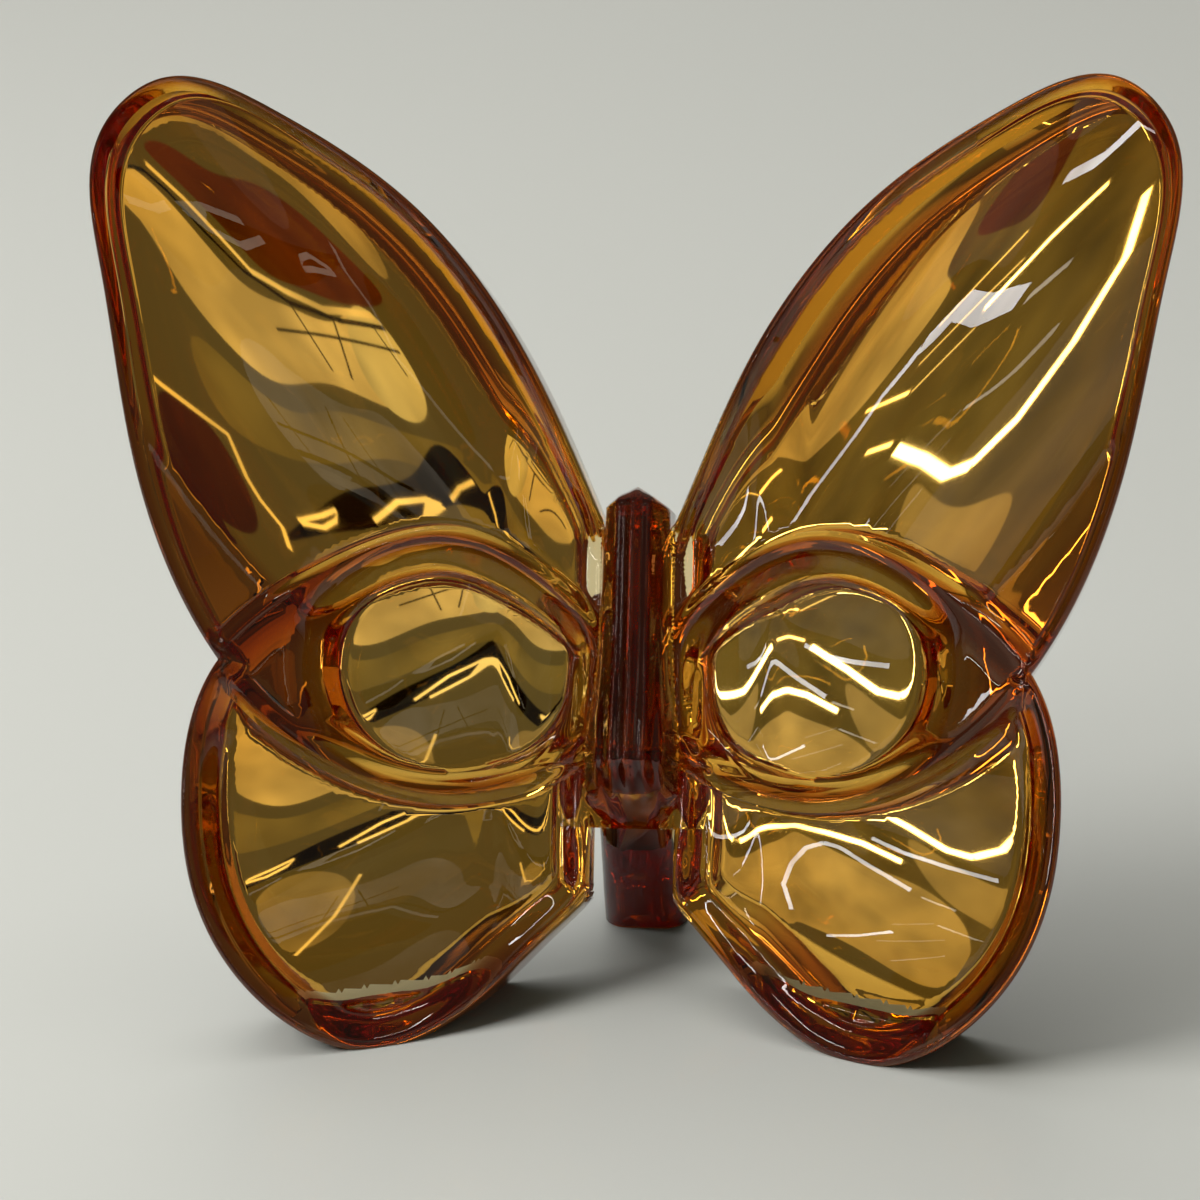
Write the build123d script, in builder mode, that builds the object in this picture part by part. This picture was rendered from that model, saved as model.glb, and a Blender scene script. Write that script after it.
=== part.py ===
"""Standing butterfly ornament of pressed clear crystal, gilded on the back.

The butterfly leans back and stands on three ground flats: one under each hindwing and one under the tail foot.
Each wing is two overlapping ovals. Their rims are raised ridges, which divide the wing into three dished cells.
The cells, the body and the tail foot are separate crystal solids that meet face to face along those ridges,
and each has its own film of gilding behind it.

The wings are drawn in a leaning frame: x across, v up along the lean and n out of the front.
"""

import math
import os

from build123d import *

# Stance
lean = 27.5  # degrees that the butterfly leans back
sweep = 18.0  # degrees that each wing is folded forward
frame_setback = 9.64  # from the middle of the base to the leaning frame's foot, along y

# Forewing oval
forewing_reach = 35.0
forewing_top = 60.0
forewing_base = 14.2

# Hindwing oval
hindwing_reach = 28.0
hindwing_top = 30.7
hindwing_base = -2.7

# Wing section
wing_thickness = 6.0  # from the crests of the ridges to the gilded back
rim_width = 0.9  # from the outline to the crest of the outer rim
rim_drop = 0.6  # how far the rim is rounded down at the outline
back_rim_radius = 1.0
notch_radius = 1.2  # rounds the tip of the middle cell, between the two rims
back_fold_radius = 10.0
front_fold_radius = 3.0
root_dip = 2.5  # how far the ridges fall towards the body
root_dip_width = 9.0
root_reach = 2.5  # from the middle to where the dishes begin
root_wall = 2.0  # distance over which a dish falls from the body

# Forewing's dish, with a spoon-shaped hollow in it
forewing_dish = 1.7
forewing_hollow = 1.7
forewing_hollow_tilt = 54.0  # degrees
forewing_wall = 2.0  # distance over which the dish falls from the rim, far from the body
forewing_root_wall = 3.6  # the same, near the body
forewing_ridge_wall = 2.4  # the same, from the ridge below the dish

# Middle cell's bowl
middle_dish = 3.4
middle_ridge_wall = 3.0
middle_floor_wall = 1.5

# Hindwing's dish, with a spoon-shaped hollow in it
hindwing_dish = 1.8
hindwing_hollow = 1.3
hindwing_hollow_tilt = -20.0  # degrees
hindwing_wall = 3.0
hindwing_ridge_wall = 1.4

# Body
body_width = 8.6  # across the hips, where the wings begin
head_top = 34.5
shoulder_level = 33.1
head_width = 4.2
head_rounding = 3.0
thorax_height = 4.2
thorax_width = 4.8
belly_height = 4.8
belly_width = 6.2
belly_level = 16.5
belly_bottom = 12.0
belly_fall = 1.5  # how far the front falls below the ridges at the foot of the belly
flank_power = 0.7  # shape of the body's rounded flanks
hip_height = 1.3
hip_width = 1.6
hip_top = 17.7
hip_bottom = 8.5
tab_height = 0.9  # small raised tab on each side of the thorax
tab_width = 1.6
tab_length = 4.6
tab_reach = 3.4
tab_level = 20.6

# Tail foot
foot_width = 5.8
foot_depth = 7.2
foot_setback = 11.6  # from the leaning frame's foot to the front of the tail foot, on the floor
foot_top_level = 17.5  # where the foot runs out into the back of the body
foot_corner_radius = 0.8

# Gilding
gilding_thickness = 0.15
gilding_margin = 0.3  # bare crystal between the gilding and the floor, and above the tail foot's gilding

# Drawing of the relief
overrun = 4.0  # spare length on tools that cut
wing_grid_step = 0.8  # spacing of the points that a relief face is drawn through
body_grid_step = 0.6
relief_tolerance = 0.05
outline_samples = 110

# Outlines, as shares of each oval's reach across and of its height from base to top
forewing_shares = [
    (0.080, 0.415),
    (0.220, 0.640),
    (0.420, 0.834),
    (0.680, 0.963),
    (0.880, 0.998),
    (0.978, 0.926),
    (0.974, 0.716),
    (0.900, 0.437),
    (0.772, 0.205),
    (0.606, 0.066),
    (0.380, 0.000),
    (0.185, 0.024),
    (0.070, 0.085),
    (0.020, 0.180),
    (0.025, 0.300),
]
hindwing_shares = [
    (0.020, 0.680),
    (0.020, 0.470),
    (0.085, 0.320),
    (0.185, 0.225),
    (0.361, 0.078),
    (0.579, 0.000),
    (0.796, 0.078),
    (0.950, 0.258),
    (0.998, 0.470),
    (0.940, 0.728),
    (0.732, 0.901),
    (0.421, 1.000),
    (0.195, 0.916),
    (0.085, 0.822),
]

# Hollows, as shares of the oval that holds each
forewing_hollow_shares = (0.557, 0.563)
forewing_hollow_length_share = 0.568
forewing_hollow_width_share = 0.251
middle_bowl_share = 0.411
middle_bowl_radius_share = 0.5
middle_notch_share = 0.3  # how deep the middle cell is near its notch
hindwing_hollow_shares = (0.589, 0.335)
hindwing_hollow_length_share = 0.389
hindwing_hollow_width_share = 0.314

# Leaning frame
lean_up = Vector(0, math.sin(math.radians(lean)), math.cos(math.radians(lean)))
lean_out = Vector(0, -math.cos(math.radians(lean)), math.sin(math.radians(lean)))
frame_foot = Vector(0, -frame_setback, 0)
fold_slope = math.tan(math.radians(sweep))
relief_depth = fold_slope * forewing_reach + wing_thickness + overrun
relief_plane = Plane(origin=frame_foot - lean_out * relief_depth, x_dir=(1, 0, 0), z_dir=lean_out)
section_plane = Plane(origin=frame_foot + lean_up * (forewing_top + overrun), x_dir=(1, 0, 0), z_dir=-lean_up)
section_length = forewing_top - hindwing_base + 2 * overrun
half_body = body_width / 2
half_foot = foot_width / 2


def oval_points(shares, reach, base, top):
    """Points of an oval, from its shares."""
    return [(x * reach, base + v * (top - base)) for x, v in shares]


forewing_points = oval_points(forewing_shares, forewing_reach, forewing_base, forewing_top)
hindwing_points = oval_points(hindwing_shares, hindwing_reach, hindwing_base, hindwing_top)
forewing_gilding_points = oval_points(
    forewing_shares,
    forewing_reach - back_rim_radius,
    forewing_base,
    forewing_top - back_rim_radius,
)
hindwing_gilding_points = oval_points(
    hindwing_shares,
    hindwing_reach - back_rim_radius,
    hindwing_base + back_rim_radius,
    hindwing_top,
)


def sampled(points):
    """Close points along the curve that an oval's points give."""
    curve = Edge.make_spline([Vector(x, v) for x, v in points], periodic=True)
    places = [curve.position_at(i / outline_samples) for i in range(outline_samples)]
    return [(place.X, place.Y) for place in places]


forewing_line = sampled(forewing_points)
hindwing_line = sampled(hindwing_points)


def inside_distance(x, v, line):
    """Distance from an outline, positive inside it."""
    nearest = math.inf
    inside = False
    x0, v0 = line[-1]
    for x1, v1 in line:
        dx, dv = x1 - x0, v1 - v0
        along = ((x - x0) * dx + (v - v0) * dv) / (dx * dx + dv * dv)
        along = min(1, max(0, along))
        nearest = min(nearest, math.hypot(x0 + along * dx - x, v0 + along * dv - v))
        if (v0 > v) != (v1 > v) and x < x0 + dx * (v - v0) / dv:
            inside = not inside
        x0, v0 = x1, v1
    return nearest if inside else -nearest


def ease(t):
    """Smooth step from 0 to 1."""
    t = min(1, max(0, t))
    return t * t * (3 - 2 * t)


def crest(x):
    """Height of the ridges, across the wings."""
    return fold_slope * math.hypot(x, front_fold_radius) - root_dip * (1 - ease(abs(x) / root_dip_width))


def spoon(x, v, centre, length, width, tilt):
    """A spoon-shaped hollow, 1 deep in its middle."""
    turn = math.radians(tilt)
    dx, dv = x - centre[0], v - centre[1]
    along = (dx * math.cos(turn) + dv * math.sin(turn)) / length
    across = (dv * math.cos(turn) - dx * math.sin(turn)) / width
    return max(0, 1 - along**2 - across**2)


forewing_height = forewing_top - forewing_base
hindwing_height = hindwing_top - hindwing_base
forewing_hollow_centre = oval_points([forewing_hollow_shares], forewing_reach, forewing_base, forewing_top)[0]
hindwing_hollow_centre = oval_points([hindwing_hollow_shares], hindwing_reach, hindwing_base, hindwing_top)[0]
forewing_hollow_sizes = (
    forewing_height * forewing_hollow_length_share,
    forewing_height * forewing_hollow_width_share,
    forewing_hollow_tilt,
)
hindwing_hollow_sizes = (
    hindwing_height * hindwing_hollow_length_share,
    hindwing_height * hindwing_hollow_width_share,
    hindwing_hollow_tilt,
)
middle_bowl_reach = hindwing_reach * middle_bowl_share
middle_bowl_level = (forewing_base + hindwing_top) / 2
middle_bowl_radius = hindwing_reach * middle_bowl_radius_share


def wing_front(x, v):
    """Height of the wing's relief: ridges along both ovals, and dished cells between them."""
    x = abs(x)
    fore = inside_distance(x, v, forewing_line)
    hind = inside_distance(x, v, hindwing_line)
    outward = ease((x - root_dip_width) / (forewing_reach - 2 * root_dip_width))
    wall = forewing_root_wall + (forewing_wall - forewing_root_wall) * outward
    in_fore = ease((fore - rim_width * (1 - ease(hind / rim_width))) / wall)
    in_hind = ease((hind - rim_width * (1 - ease(fore / rim_width))) / hindwing_wall)
    hollow = forewing_hollow * spoon(x, v, forewing_hollow_centre, *forewing_hollow_sizes)
    dish = (forewing_dish + hollow) * in_fore * ease(-hind / forewing_ridge_wall)
    bowl = 1 - ease(math.hypot(x - middle_bowl_reach, v - middle_bowl_level) / middle_bowl_radius)
    bowl = middle_notch_share + (1 - middle_notch_share) * bowl
    dish += middle_dish * bowl * ease(fore / middle_floor_wall) * ease(hind / middle_ridge_wall)
    hollow = hindwing_hollow * spoon(x, v, hindwing_hollow_centre, *hindwing_hollow_sizes)
    dish += (hindwing_dish + hollow) * in_hind * ease(-fore / hindwing_ridge_wall)
    rounding = rim_drop * (1 - ease(max(fore, hind) / rim_width))
    return crest(x) - (dish + rounding) * ease((x - root_reach) / root_wall)


def body_front(x, v):
    """Height of the body's relief: head, thorax and belly, with a bead along each hip and a tab above it."""
    swell = math.exp(-(((v - belly_level) / (belly_level - belly_bottom)) ** 2))
    half_width = (thorax_width + (belly_width - thorax_width) * swell) / 2
    height = thorax_height + (belly_height - thorax_height) * swell
    rise = ease((v - belly_bottom) / (belly_level - belly_bottom))
    rounding = ease((head_top - v) / head_rounding + 1 / 2)
    flank = max(0, 1 - (x / half_width) ** 2) ** flank_power
    column = flank * (height * rise * rounding - belly_fall * (1 - rise))
    bead_level = 2 * (v - (hip_top + hip_bottom) / 2) / (hip_top - hip_bottom)
    bead_place = 2 * (abs(x) - half_body + hip_width / 2) / hip_width
    bead = hip_height * math.exp(-(bead_level**4) - bead_place**2)
    tab_along = 2 * (v - tab_level) / tab_length
    tab_across = 2 * (abs(x) - tab_reach) / tab_width
    tab = tab_height * math.exp(-(tab_along**4) - tab_across**4)
    return wing_front(x, v) + column + bead + tab


def relief_face(height, low_x, high_x, low_v, high_v, step):
    """A smooth face through a grid of points of a relief."""
    columns = math.ceil((high_x - low_x) / step)
    rows = math.ceil((high_v - low_v) / step)
    points = []
    for i in range(columns + 1):
        x = low_x + (high_x - low_x) * i / columns
        levels = [low_v + (high_v - low_v) * j / rows for j in range(rows + 1)]
        points.append([frame_foot + Vector(x, 0, 0) + lean_up * v + lean_out * height(x, v) for v in levels])
    return Face.make_surface_from_array_of_points(points, tol=relief_tolerance)


def relief_place(v, n):
    """A point of the middle plane, as y and z."""
    place = frame_foot + lean_up * v + lean_out * n
    return place.Y, place.Z


wing_front_face = relief_face(
    wing_front,
    half_body - overrun,
    forewing_reach + overrun,
    hindwing_base - overrun,
    forewing_top + overrun,
    wing_grid_step,
)
body_front_face = relief_face(
    body_front,
    -half_body - overrun,
    half_body + overrun,
    hip_bottom - overrun,
    head_top + overrun,
    body_grid_step,
)

# Outlines of the two ovals, and of the gilding behind them, which stops where the back's rim is rounded
with BuildSketch() as forewing_oval:
    with BuildLine():
        Spline(*forewing_points, periodic=True)
    make_face()

with BuildSketch() as hindwing_oval:
    with BuildLine():
        Spline(*hindwing_points, periodic=True)
    make_face()

with BuildSketch() as forewing_gilding_oval:
    with BuildLine():
        Spline(*forewing_gilding_points, periodic=True)
    make_face()

with BuildSketch() as hindwing_gilding_oval:
    with BuildLine():
        Spline(*hindwing_gilding_points, periodic=True)
    make_face()

with BuildSketch() as wing_side:
    with Locations((half_body, hindwing_base - overrun)):
        Rectangle(forewing_reach, section_length, align=(Align.MIN, Align.MIN))

# Cross-sections of the folded wings and of the gilding, seen down the lean
back_edge = forewing_reach + overrun
back_line = [
    (-back_edge, fold_slope * back_edge - wing_thickness),
    (0, -wing_thickness),
    (back_edge, fold_slope * back_edge - wing_thickness),
]
gilding_line = [(x, n - gilding_thickness) for x, n in back_line]

with BuildSketch(section_plane) as wing_section:
    with BuildLine():
        FilletPolyline(*back_line, radius=back_fold_radius)
        Polyline(back_line[-1], (back_edge, relief_depth), (-back_edge, relief_depth), back_line[0])
    make_face()

with BuildSketch(section_plane) as gilding_section:
    with BuildLine():
        FilletPolyline(*back_line, radius=back_fold_radius)
        Line(back_line[-1], gilding_line[-1])
        FilletPolyline(*gilding_line, radius=back_fold_radius)
        Line(gilding_line[0], back_line[0])
    make_face()

# Outlines of the cells
with BuildSketch(relief_plane) as forewing_cell:
    add(forewing_oval.sketch)
    add(hindwing_oval.sketch, mode=Mode.SUBTRACT)
    add(wing_side.sketch, mode=Mode.INTERSECT)

with BuildSketch(relief_plane) as middle_cell:
    add(forewing_oval.sketch)
    add(hindwing_oval.sketch, mode=Mode.INTERSECT)
    add(wing_side.sketch, mode=Mode.INTERSECT)
    fillet(middle_cell.vertices().sort_by(Axis.X)[-1], radius=notch_radius)

with BuildSketch(relief_plane) as hindwing_cell:
    add(hindwing_oval.sketch)
    add(forewing_oval.sketch, mode=Mode.SUBTRACT)
    add(wing_side.sketch, mode=Mode.INTERSECT)

with BuildSketch(relief_plane) as forewing_gilding_cell:
    add(forewing_gilding_oval.sketch)
    add(hindwing_oval.sketch, mode=Mode.SUBTRACT)
    add(wing_side.sketch, mode=Mode.INTERSECT)

with BuildSketch(relief_plane) as hindwing_gilding_cell:
    add(hindwing_gilding_oval.sketch)
    add(forewing_oval.sketch, mode=Mode.SUBTRACT)
    add(wing_side.sketch, mode=Mode.INTERSECT)

with BuildSketch(relief_plane) as body_outline:
    with BuildLine():
        Polyline(
            (0, head_top),
            (head_width / 2, shoulder_level),
            (thorax_width / 2, belly_level),
            (half_body, (hip_top + belly_bottom) / 2),
            (half_body, (hip_bottom + belly_bottom) / 2),
            (half_foot, hip_bottom),
            (0, hip_bottom),
            close=True,
        )
    make_face()
    add(forewing_oval.sketch)
    add(hindwing_oval.sketch)
    with Locations((0, hip_bottom)):
        Rectangle(half_body, section_length, align=(Align.MIN, Align.MIN), mode=Mode.INTERSECT)
    mirror(about=Plane.YZ)
    Rectangle(foot_width, 2 * belly_bottom, mode=Mode.SUBTRACT)

os.makedirs("parts", exist_ok=True)

# Forewing cell, with a rounded outer rim
with BuildPart() as right_forewing:
    extrude(forewing_cell.sketch, amount=2 * relief_depth)
    extrude(wing_section.sketch, amount=section_length, mode=Mode.INTERSECT)
    split(bisect_by=wing_front_face, keep=Keep.BOTTOM)
    back = right_forewing.faces().filter_by(GeomType.PLANE).sort_by(SortBy.AREA)[-1]
    fillet(back.edges().sort_by(SortBy.LENGTH)[-1], radius=back_rim_radius)
right_forewing.part.label = "right_forewing"
export_step(right_forewing.part, "parts/right_forewing.step")

# Middle cell, where the two ovals overlap
with BuildPart() as right_middle_cell:
    extrude(middle_cell.sketch, amount=2 * relief_depth)
    extrude(wing_section.sketch, amount=section_length, mode=Mode.INTERSECT)
    split(bisect_by=wing_front_face, keep=Keep.BOTTOM)
right_middle_cell.part.label = "right_middle_cell"
export_step(right_middle_cell.part, "parts/right_middle_cell.step")

# Hindwing cell, with a rounded outer rim and a ground flat under it
with BuildPart() as right_hindwing:
    extrude(hindwing_cell.sketch, amount=2 * relief_depth)
    extrude(wing_section.sketch, amount=section_length, mode=Mode.INTERSECT)
    split(bisect_by=wing_front_face, keep=Keep.BOTTOM)
    back = right_hindwing.faces().filter_by(GeomType.PLANE).sort_by(SortBy.AREA)[-1]
    fillet(back.edges().sort_by(SortBy.LENGTH)[-1], radius=back_rim_radius)
    split(bisect_by=Plane.XY, keep=Keep.TOP)
right_hindwing.part.label = "right_hindwing"
export_step(right_hindwing.part, "parts/right_hindwing.step")

# Left wing, which mirrors the right one
with BuildPart() as left_forewing:
    mirror(right_forewing.part, about=Plane.YZ)
left_forewing.part.label = "left_forewing"
export_step(left_forewing.part, "parts/left_forewing.step")

with BuildPart() as left_middle_cell:
    mirror(right_middle_cell.part, about=Plane.YZ)
left_middle_cell.part.label = "left_middle_cell"
export_step(left_middle_cell.part, "parts/left_middle_cell.step")

with BuildPart() as left_hindwing:
    mirror(right_hindwing.part, about=Plane.YZ)
left_hindwing.part.label = "left_hindwing"
export_step(left_hindwing.part, "parts/left_hindwing.step")

# Body: head, thorax, belly and hips, notched for the tail foot
with BuildPart() as body:
    extrude(body_outline.sketch, amount=2 * relief_depth)
    extrude(wing_section.sketch, amount=section_length, mode=Mode.INTERSECT)
    split(bisect_by=body_front_face, keep=Keep.BOTTOM)
body.part.label = "body"
export_step(body.part, "parts/body.step")

# Tail foot: a prop that runs down from the body's back and lower end to the floor
foot_toe_y = foot_setback - frame_setback
foot_heel_y = foot_toe_y + foot_depth
foot_throat_y, foot_throat_z = relief_place(belly_bottom, body_front(0, belly_bottom))
foot_peak_y, foot_peak_z = relief_place(foot_top_level, -wing_thickness)
foot_brow_y = foot_toe_y + (foot_throat_y - foot_toe_y) * foot_peak_z / foot_throat_z
with BuildPart() as tail_foot:
    with BuildSketch():
        with Locations((0, (foot_toe_y + foot_heel_y) / 2)):
            RectangleRounded(foot_width, foot_depth, foot_corner_radius)
    with BuildSketch(Plane.XY.offset(foot_peak_z)):
        with Locations((0, (foot_brow_y + foot_peak_y) / 2)):
            RectangleRounded(foot_width, foot_peak_y - foot_brow_y, foot_corner_radius)
    loft(ruled=True)
    extrude(wing_section.sketch, amount=forewing_top + overrun - belly_bottom, mode=Mode.SUBTRACT)
tail_foot.part.label = "tail_foot"
export_step(tail_foot.part, "parts/tail_foot.step")

# Gilding behind each cell
with BuildPart() as right_forewing_gilding:
    extrude(forewing_gilding_cell.sketch, amount=2 * relief_depth)
    extrude(gilding_section.sketch, amount=section_length, mode=Mode.INTERSECT)
right_forewing_gilding.part.label = "right_forewing_gilding"
export_step(right_forewing_gilding.part, "parts/right_forewing_gilding.step")

with BuildPart() as right_middle_gilding:
    extrude(middle_cell.sketch, amount=2 * relief_depth)
    extrude(gilding_section.sketch, amount=section_length, mode=Mode.INTERSECT)
right_middle_gilding.part.label = "right_middle_gilding"
export_step(right_middle_gilding.part, "parts/right_middle_gilding.step")

with BuildPart() as right_hindwing_gilding:
    extrude(hindwing_gilding_cell.sketch, amount=2 * relief_depth)
    extrude(gilding_section.sketch, amount=section_length, mode=Mode.INTERSECT)
    split(bisect_by=Plane.XY.offset(gilding_margin), keep=Keep.TOP)
right_hindwing_gilding.part.label = "right_hindwing_gilding"
export_step(right_hindwing_gilding.part, "parts/right_hindwing_gilding.step")

with BuildPart() as left_forewing_gilding:
    mirror(right_forewing_gilding.part, about=Plane.YZ)
left_forewing_gilding.part.label = "left_forewing_gilding"
export_step(left_forewing_gilding.part, "parts/left_forewing_gilding.step")

with BuildPart() as left_middle_gilding:
    mirror(right_middle_gilding.part, about=Plane.YZ)
left_middle_gilding.part.label = "left_middle_gilding"
export_step(left_middle_gilding.part, "parts/left_middle_gilding.step")

with BuildPart() as left_hindwing_gilding:
    mirror(right_hindwing_gilding.part, about=Plane.YZ)
left_hindwing_gilding.part.label = "left_hindwing_gilding"
export_step(left_hindwing_gilding.part, "parts/left_hindwing_gilding.step")

# Gilding behind the body, cut away where the tail foot meets it
with BuildPart() as body_gilding:
    with BuildSketch(relief_plane):
        add(body_outline.sketch_local)
        Rectangle(foot_width, 2 * foot_top_level, mode=Mode.SUBTRACT)
    extrude(amount=2 * relief_depth)
    extrude(gilding_section.sketch, amount=section_length, mode=Mode.INTERSECT)
body_gilding.part.label = "body_gilding"
export_step(body_gilding.part, "parts/body_gilding.step")

# Gilding on the rear face of the tail foot
foot_heel = Vector(0, foot_heel_y, 0)
foot_peak = Vector(0, foot_peak_y, foot_peak_z)
foot_outward = Vector(-1, 0, 0).cross(foot_peak - foot_heel)
with BuildPart() as tail_foot_gilding:
    with BuildSketch(Plane(origin=(foot_heel + foot_peak) / 2, x_dir=(-1, 0, 0), z_dir=foot_outward)):
        Rectangle(foot_width - 2 * foot_corner_radius, (foot_peak - foot_heel).length - 2 * gilding_margin)
    extrude(amount=gilding_thickness)
tail_foot_gilding.part.label = "tail_foot_gilding"
export_step(tail_foot_gilding.part, "parts/tail_foot_gilding.step")
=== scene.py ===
import math

import bmesh
import bpy
import numpy as np
from mathutils import Matrix, Vector
from mathutils.geometry import delaunay_2d_cdt


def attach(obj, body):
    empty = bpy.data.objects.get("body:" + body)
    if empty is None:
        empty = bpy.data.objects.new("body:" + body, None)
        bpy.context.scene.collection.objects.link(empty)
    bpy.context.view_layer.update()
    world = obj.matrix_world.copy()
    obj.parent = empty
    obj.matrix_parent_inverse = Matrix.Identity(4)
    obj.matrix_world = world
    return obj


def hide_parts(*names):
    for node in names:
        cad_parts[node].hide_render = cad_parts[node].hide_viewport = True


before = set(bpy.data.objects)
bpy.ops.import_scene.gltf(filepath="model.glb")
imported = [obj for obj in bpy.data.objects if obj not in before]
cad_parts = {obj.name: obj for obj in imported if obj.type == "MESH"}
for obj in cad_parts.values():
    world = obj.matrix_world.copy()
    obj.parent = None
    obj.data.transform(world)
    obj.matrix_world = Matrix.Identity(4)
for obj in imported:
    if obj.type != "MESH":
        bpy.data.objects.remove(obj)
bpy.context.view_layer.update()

scene = bpy.context.scene

# Crystal casting
# One pressing of clear crystal: a raised body between two wings, each of two overlapping ovals whose
# raised rims divide it into three dished cells. It is drawn in millimetres in a frame that leans back.
mm = 0.001
lean = math.radians(27.5)
sweep = math.radians(18.0)
frame_setback = 9.64
forewing_reach, forewing_base, forewing_top = 35.0, 14.2, 60.0
hindwing_reach, hindwing_base, hindwing_top = 28.0, -2.7, 30.7
forewing_shares = [
    (0.080, 0.415), (0.220, 0.640), (0.420, 0.834), (0.680, 0.963), (0.880, 0.998),
    (0.978, 0.926), (0.974, 0.716), (0.900, 0.437), (0.772, 0.205), (0.606, 0.066),
    (0.380, 0.000), (0.185, 0.024), (0.070, 0.085), (0.020, 0.180), (0.025, 0.300),
]
hindwing_shares = [
    (0.020, 0.680), (0.020, 0.470), (0.085, 0.320), (0.185, 0.225), (0.361, 0.078),
    (0.579, 0.000), (0.796, 0.078), (0.950, 0.258), (0.998, 0.470), (0.940, 0.728),
    (0.732, 0.901), (0.421, 1.000), (0.195, 0.916), (0.085, 0.822),
]
wing_thickness = 6.0
rim_radius = 0.6
rim_width = 0.2
back_rim_radius = 0.4
front_drop = 0.25
back_fold_radius, front_fold_radius = 10.0, 3.0
root_dip, root_dip_width, root_reach, root_wall = 2.5, 9.0, 2.0, 1.8
forewing_wall, forewing_root_wall, forewing_ridge_wall = 0.7, 1.2, 1.0
forewing_dish, forewing_hollow = 0.6, 2.6
forewing_hollow_centre, forewing_hollow_radii, forewing_hollow_tilt = (19.5, 40.0), (26.0, 11.5), 54.0
middle_dish, middle_ridge_wall, middle_floor_wall, middle_bowl_curve = 2.8, 2.4, 1.1, 0.4
middle_bowl_centre, middle_bowl_radius, middle_bowl_wall, middle_notch_share = (11.6, 22.4), 8.6, 3.4, 0.14
hindwing_wall, hindwing_ridge_wall = 2.4, 1.0
hindwing_dish, hindwing_hollow = 1.3, 1.8
hindwing_hollow_centre, hindwing_hollow_radii, hindwing_hollow_tilt = (16.5, 11.0), (13.0, 10.5), -20.0
body_width, head_top, shoulder_level, head_width, head_rounding = 8.6, 34.5, 33.1, 4.2, 3.0
thorax_height, thorax_width, flank_power, flute_pitch, flute_depth = 4.2, 4.8, 0.7, 1.1, 0.12
belly_height, belly_width, belly_level, belly_bottom, belly_fall = 4.8, 6.2, 16.5, 12.0, 1.5
hip_height, hip_width, hip_top, hip_bottom = 1.3, 1.6, 17.7, 8.5
tab_height, tab_width, tab_length, tab_reach, tab_level = 0.9, 1.6, 4.6, 3.4, 20.6
mesh_step = 0.36
fold_slope = math.tan(sweep)
half_body = body_width / 2


def closed_spline(points, count):
    """Points along the smooth closed curve through a few given ones."""
    given = np.array(points, float)
    number = len(given)
    gaps = np.linalg.norm(np.roll(given, -1, 0) - given, axis=1)
    system = np.zeros((number, number))
    pull = np.zeros((number, 2))
    for i in range(number):
        before, after = (i - 1) % number, (i + 1) % number
        system[i, before] += gaps[before]
        system[i, i] += 2 * (gaps[before] + gaps[i])
        system[i, after] += gaps[i]
        pull[i] = 6 * ((given[after] - given[i]) / gaps[i] - (given[i] - given[before]) / gaps[before])
    bends = np.linalg.solve(system, pull)
    places = np.linspace(0, gaps.sum(), count, endpoint=False)
    starts = np.concatenate([[0], np.cumsum(gaps)])
    i = np.clip(np.searchsorted(starts, places, "right") - 1, 0, number - 1)
    after = (i + 1) % number
    past = (places - starts[i])[:, None]
    gap = gaps[i][:, None]
    left = gap - past
    bend = (bends[i] * left**3 + bends[after] * past**3) / (6 * gap)
    near = (given[i] / gap - bends[i] * gap / 6) * left
    far = (given[after] / gap - bends[after] * gap / 6) * past
    return bend + near + far


def inside_depth(points, line):
    """Distance of points from a closed outline, positive inside it."""
    a, b = line, np.roll(line, -1, 0)
    ab = b - a
    length = (ab**2).sum(1)
    depth = np.empty(len(points))
    batch = 1000
    for start in range(0, len(points), batch):
        x, v = points[start:start + batch, 0, None], points[start:start + batch, 1, None]
        dx, dv = x - a[:, 0], v - a[:, 1]
        t = np.clip((dx * ab[:, 0] + dv * ab[:, 1]) / length, 0, 1)
        gap = np.sqrt(((dx - t * ab[:, 0]) ** 2 + (dv - t * ab[:, 1]) ** 2).min(1))
        crossing = (a[:, 1] > v) != (b[:, 1] > v)
        with np.errstate(divide="ignore", invalid="ignore"):
            at = a[:, 0] + ab[:, 0] * dv / ab[:, 1]
        inside = (crossing & (x < at)).sum(1) % 2 == 1
        depth[start:start + batch] = np.where(inside, gap, -gap)
    return depth


def ease(t):
    """Smooth step from 0 to 1."""
    t = np.clip(t, 0, 1)
    return t * t * (3 - 2 * t)


def oval(shares, reach, base, top, count):
    """A wing's oval, from its shares."""
    return closed_spline([(x * reach, base + v * (top - base)) for x, v in shares], count)


foot_width = 5.8
half_foot = foot_width / 2
forewing_points, hindwing_points = 360, 280
forewing_line = oval(forewing_shares, forewing_reach, forewing_base, forewing_top, forewing_points)
hindwing_line = oval(hindwing_shares, hindwing_reach, hindwing_base, hindwing_top, hindwing_points)
half_outline = [
    (0, belly_bottom), (half_foot, belly_bottom), (half_foot, hip_bottom),
    (half_body, (hip_bottom + belly_bottom) / 2), (half_body, (hip_top + belly_bottom) / 2),
    (thorax_width / 2, belly_level), (head_width / 2, shoulder_level), (0, head_top),
]
body_line = np.array(half_outline[1:] + [(-x, v) for x, v in reversed(half_outline[1:-1])], float)


def edge_depth(p):
    """Distance of points from the butterfly's outline, positive inside it."""
    q = np.column_stack([np.abs(p[:, 0]), p[:, 1]])
    return np.maximum.reduce([
        inside_depth(q, forewing_line), inside_depth(q, hindwing_line), inside_depth(p, body_line),
    ])


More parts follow.
